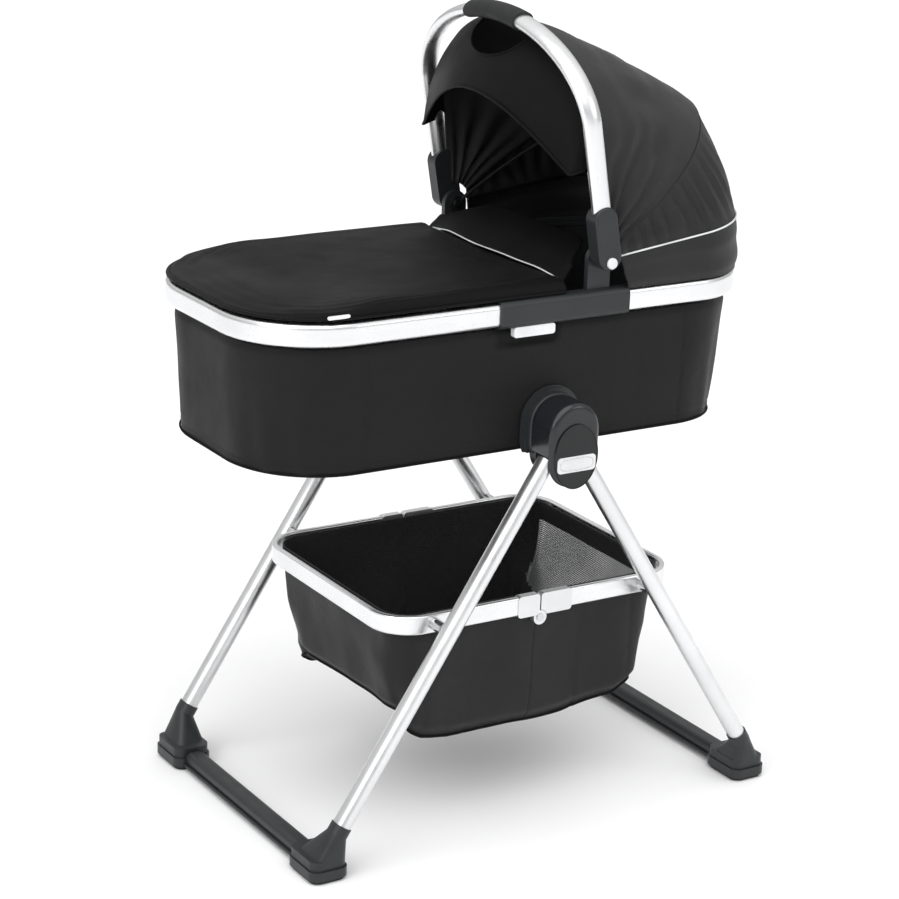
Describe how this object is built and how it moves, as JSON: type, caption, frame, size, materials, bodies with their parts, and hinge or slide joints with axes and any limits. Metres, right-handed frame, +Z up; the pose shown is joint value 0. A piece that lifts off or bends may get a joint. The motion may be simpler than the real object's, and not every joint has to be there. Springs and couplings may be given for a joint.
{
  "type": "bassinet on stand",
  "caption": "Fabric bassinet with a folding canopy and carrying handle, lifted on and off a folding leg stand that holds a storage basket.",
  "frame": {"origin": "on the floor under the middle of the whole object", "axes": "+Z up, +X towards the head end with the canopy, +Y towards the far side"},
  "size_m": [0.853, 0.5314, 1.1723],
  "materials": {
    "satin_tube": "satin anodised",
    "steel": "bright zinc plated",
    "dark_plastic": "moulded, fine texture",
    "black_plastic": "moulded",
    "light_plastic": "moulded, painted silver",
    "foot_rubber": "moulded",
    "black_fabric": "woven nylon, slight sheen",
    "basket_fabric": "woven nylon outside, mesh inside",
    "liner_fabric": "soft knitted liner",
    "mattress_fabric": "quilted cotton",
    "base_board": "pressed board"
  },
  "bodies": {
    "stand_hubs": {"hub_housing_near": "dark_plastic", "hub_housing_far": "dark_plastic", "hub_backs": "black_plastic", "hub_covers": "dark_plastic", "hub_badges": "light_plastic", "leg_pivot_pins": "steel"},
    "foot_legs": {"leg_foot_near": "satin_tube", "leg_foot_far": "satin_tube", "leg_knuckles_foot": "black_plastic", "foot_corners_foot": "dark_plastic", "base_bar_foot": "dark_plastic", "foot_pads_foot": "foot_rubber", "basket_pins_foot": "steel"},
    "head_legs": {"leg_head_near": "satin_tube", "leg_head_far": "satin_tube", "leg_knuckles_head": "black_plastic", "foot_corners_head": "dark_plastic", "base_bar_head": "dark_plastic", "foot_pads_head": "foot_rubber", "basket_pins_head": "steel"},
    "basket_foot_half": {"basket_frame_foot": "satin_tube", "basket_knuckles_foot": "light_plastic", "basket_hinge_pins": "steel", "basket_bag_foot": "basket_fabric", "basket_screws_foot": "steel"},
    "basket_head_half": {"basket_frame_head": "satin_tube", "basket_knuckles_head": "light_plastic", "basket_bag_head": "basket_fabric", "basket_screws_head": "steel"},
    "bassinet": {"rim_rail_foot": "satin_tube", "rim_rail_head": "satin_tube", "side_fairing_near": "dark_plastic", "side_fairing_far": "dark_plastic", "dock_arches": "black_plastic", "tub_fabric": "black_fabric", "tub_base": "base_board", "tub_liner": "liner_fabric", "mattress": "mattress_fabric", "apron": "black_fabric", "apron_zip_pull": "light_plastic", "wind_guard": "black_fabric", "handle_mounts": "black_plastic", "handle_pivot_pins": "steel", "canopy_skirt": "black_fabric"},
    "rear_bow": {"rear_bow_rod": "steel", "canopy_back": "black_fabric"},
    "handle": {"handle_tube": "satin_tube", "handle_grip": "black_plastic", "handle_fitting_near": "black_plastic", "handle_fitting_far": "black_plastic", "canopy_visor": "black_fabric", "canopy_roof": "black_fabric", "button_spring_near": "steel", "button_spring_far": "steel"},
    "button_near": {"handle_button_near": "light_plastic"},
    "button_far": {"handle_button_far": "light_plastic"},
    "lever_near": {"release_lever_near": "light_plastic"},
    "lever_far": {"release_lever_far": "light_plastic"}
  },
  "joints": [
    {"name": "foot_leg_fold", "type": "hinge", "parent": "stand_hubs", "child": "foot_legs", "pos_m": [0.0115, 0, 0.584], "axis": [0, -1, 0], "range_deg": [0, 29], "deforming": ["basket_bag_foot", "basket_bag_head"]},
    {"name": "head_leg_fold", "type": "hinge", "parent": "stand_hubs", "child": "head_legs", "pos_m": [0.0465, 0, 0.584], "axis": [0, 1, 0], "range_deg": [0, 29]},
    {"name": "basket_foot_fold", "type": "hinge", "parent": "foot_legs", "child": "basket_foot_half", "pos_m": [-0.14934, 0, 0.3355], "axis": [0, -1, 0], "range_deg": [0, 55.76]},
    {"name": "basket_middle_fold", "type": "hinge", "parent": "basket_foot_half", "child": "basket_head_half", "pos_m": [0.029, 0, 0.314], "axis": [0, 1, 0], "range_deg": [0, 169.52]},
    {"name": "bassinet_lift", "type": "slide", "parent": "stand_hubs", "child": "bassinet", "axis": [0, 0, 1], "range_m": [0, 0.15]},
    {"name": "rear_bow_swing", "type": "hinge", "parent": "bassinet", "child": "rear_bow", "pos_m": [0.104, 0, 0.838], "axis": [0, 1, 0], "range_deg": [0, 25]},
    {"name": "handle_swing", "type": "hinge", "parent": "rear_bow", "child": "handle", "pos_m": [0.104, 0, 0.838], "axis": [0, 1, 0], "range_deg": [0, 60], "deforming": ["canopy_roof", "canopy_back"]},
    {"name": "near_button_press", "type": "slide", "parent": "handle", "child": "button_near", "axis": [0, 1, 0], "range_m": [0, 0.003], "stiffness_N_per_m": 1500, "deforming": ["button_spring_near"]},
    {"name": "far_button_press", "type": "slide", "parent": "handle", "child": "button_far", "axis": [0, -1, 0], "range_m": [0, 0.003], "stiffness_N_per_m": 1500, "deforming": ["button_spring_far"]},
    {"name": "near_lever_pull", "type": "slide", "parent": "bassinet", "child": "lever_near", "axis": [0, 0, 1], "range_m": [0, 0.006], "stiffness_N_per_m": 800, "springref_m": -0.002},
    {"name": "far_lever_pull", "type": "slide", "parent": "bassinet", "child": "lever_far", "axis": [0, 0, 1], "range_m": [0, 0.006], "stiffness_N_per_m": 800, "springref_m": -0.002}
  ],
  "couplings": [
    {"joint": "head_leg_fold", "follows": "foot_leg_fold", "ratio": 1},
    {"joint": "basket_foot_fold", "follows": "foot_leg_fold", "ratio": 1.9228},
    {"joint": "basket_middle_fold", "follows": "foot_leg_fold", "ratio": 5.8456},
    {"joint": "rear_bow_swing", "follows": "handle_swing", "ratio": 0.41667}
  ]
}
